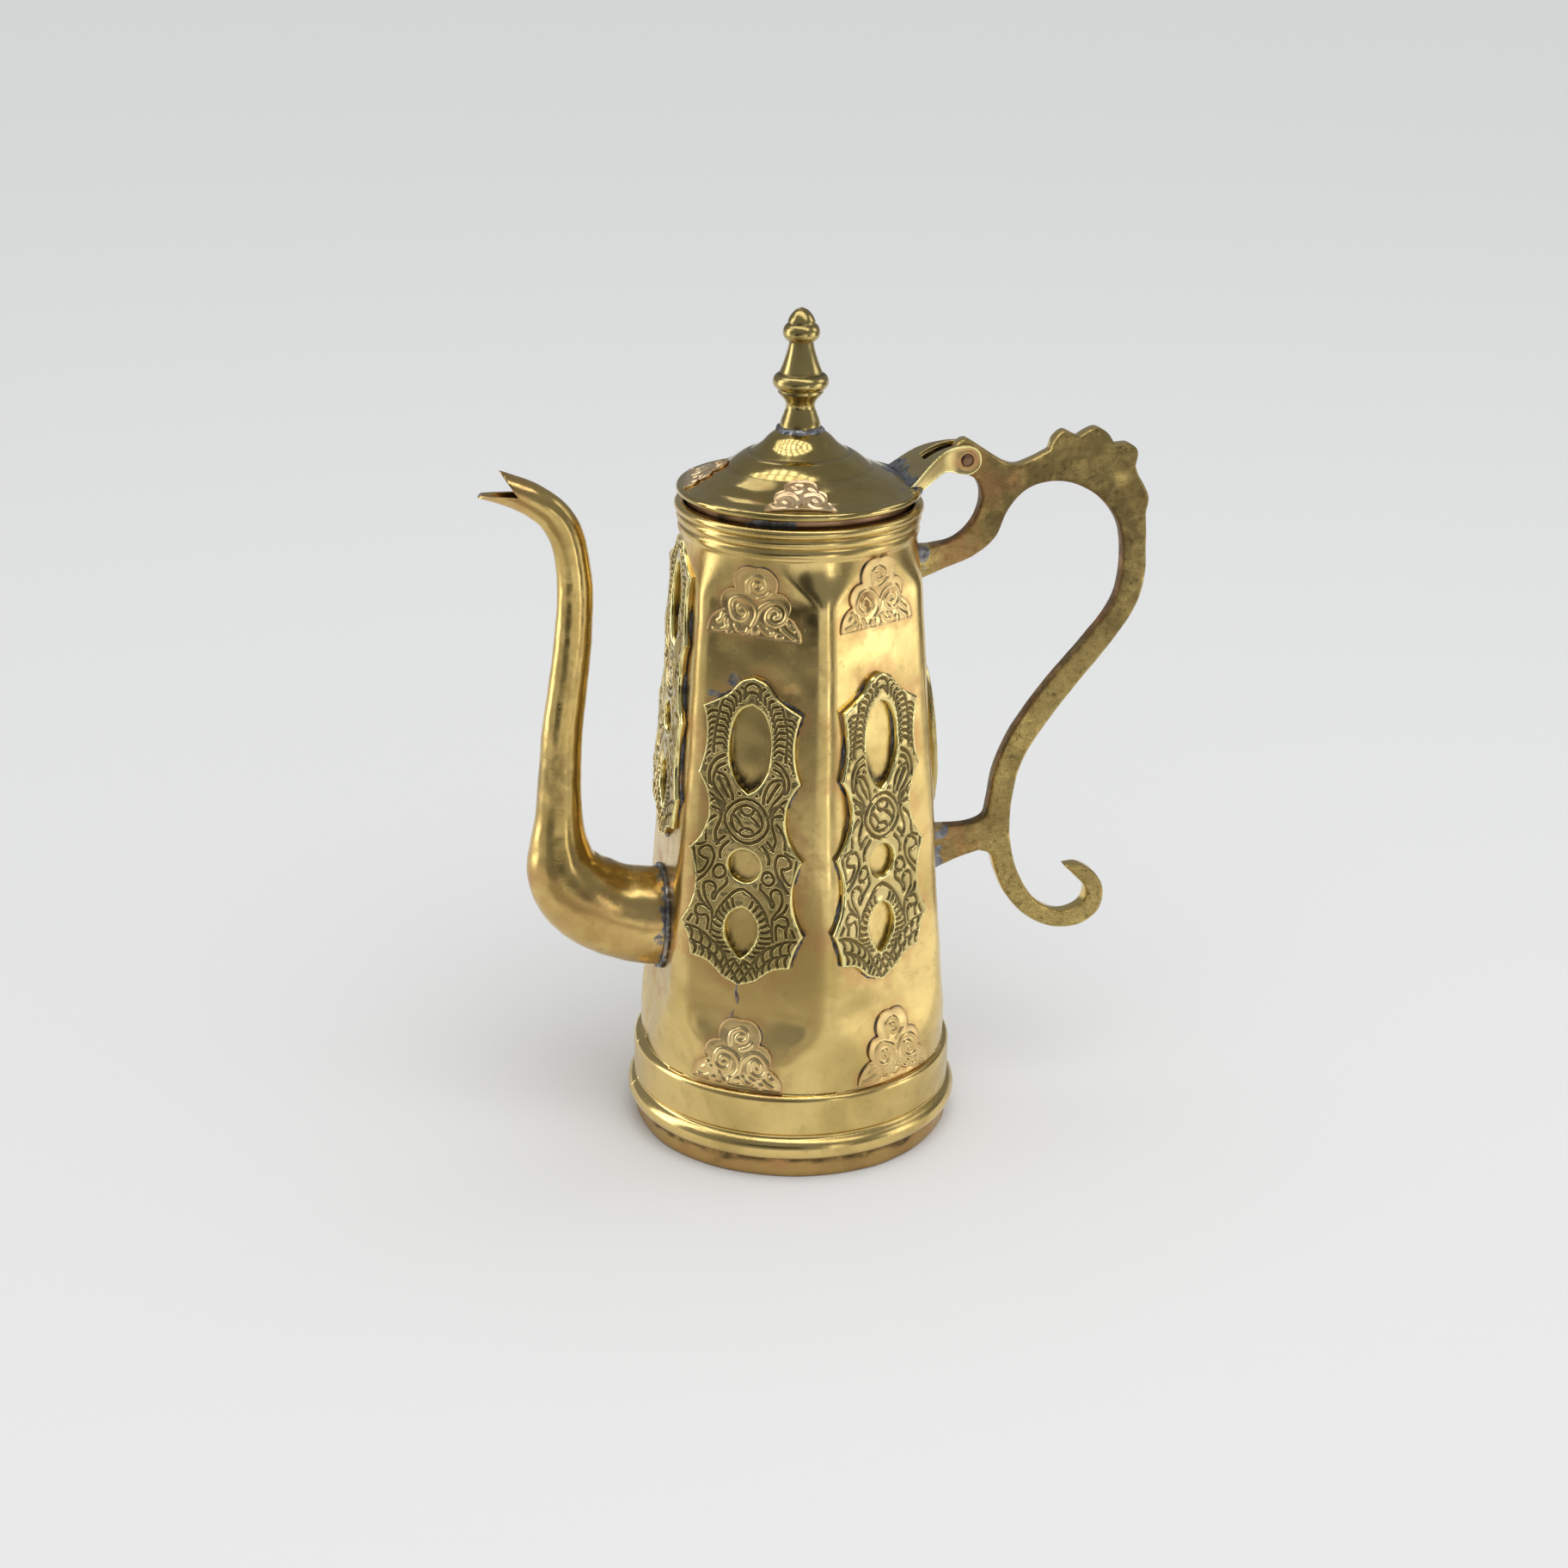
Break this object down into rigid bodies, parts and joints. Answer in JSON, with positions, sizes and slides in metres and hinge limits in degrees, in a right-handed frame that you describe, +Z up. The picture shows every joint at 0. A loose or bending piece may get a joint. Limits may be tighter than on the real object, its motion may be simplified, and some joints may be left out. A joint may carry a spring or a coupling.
{
  "type": "coffee pot",
  "caption": "Six-sided tapered brass coffee pot with a gooseneck spout, a scrolled cast handle and a hinged domed lid with a turned knob.",
  "frame": {"origin": "centre of the pan's flat underside, where the pot rests", "axes": "+Z up, +X towards the handle, -X towards the spout; the lid turns about Y"},
  "size_m": [0.2111, 0.1074, 0.2659],
  "materials": {
    "polished_brass": "polished, aged",
    "lid_brass": "polished, aged darker",
    "cast_brass": "cast, rubbed, mottled",
    "panel_brass": "cast relief, dark in its hollows",
    "badge_brass": "embossed sheet",
    "red_brass": "dull, reddish",
    "solder": "dull solder"
  },
  "bodies": {
    "pot": {"base_pan": "polished_brass", "body_shell": "polished_brass", "bottom_badge_back_left": "badge_brass", "bottom_badge_back_right": "badge_brass", "bottom_badge_front_left": "badge_brass", "bottom_badge_front_right": "badge_brass", "handle": "cast_brass", "handle_medallion": "panel_brass", "handle_solder_lower": "solder", "handle_solder_upper": "solder", "panel_back_left": "panel_brass", "panel_back_right": "panel_brass", "panel_front_left": "panel_brass", "panel_front_right": "panel_brass", "panel_spout_side": "panel_brass", "spout": "polished_brass", "spout_solder": "solder", "top_badge_back_left": "badge_brass", "top_badge_back_right": "badge_brass", "top_badge_front_left": "badge_brass", "top_badge_front_right": "badge_brass"},
    "lid": {"lid_dome": "lid_brass", "lid_bezel": "red_brass", "finial": "lid_brass", "finial_solder": "solder", "hinge_strap": "lid_brass", "hinge_rivet": "red_brass", "lid_badge_back": "badge_brass", "lid_badge_front": "badge_brass", "lid_badge_spout": "badge_brass"}
  },
  "joints": [
    {"name": "lid_hinge", "type": "hinge", "parent": "pot", "child": "lid", "pos_m": [0.0518, 0, 0.218], "axis": [0, 1, 0], "range_deg": [0, 140]}
  ]
}
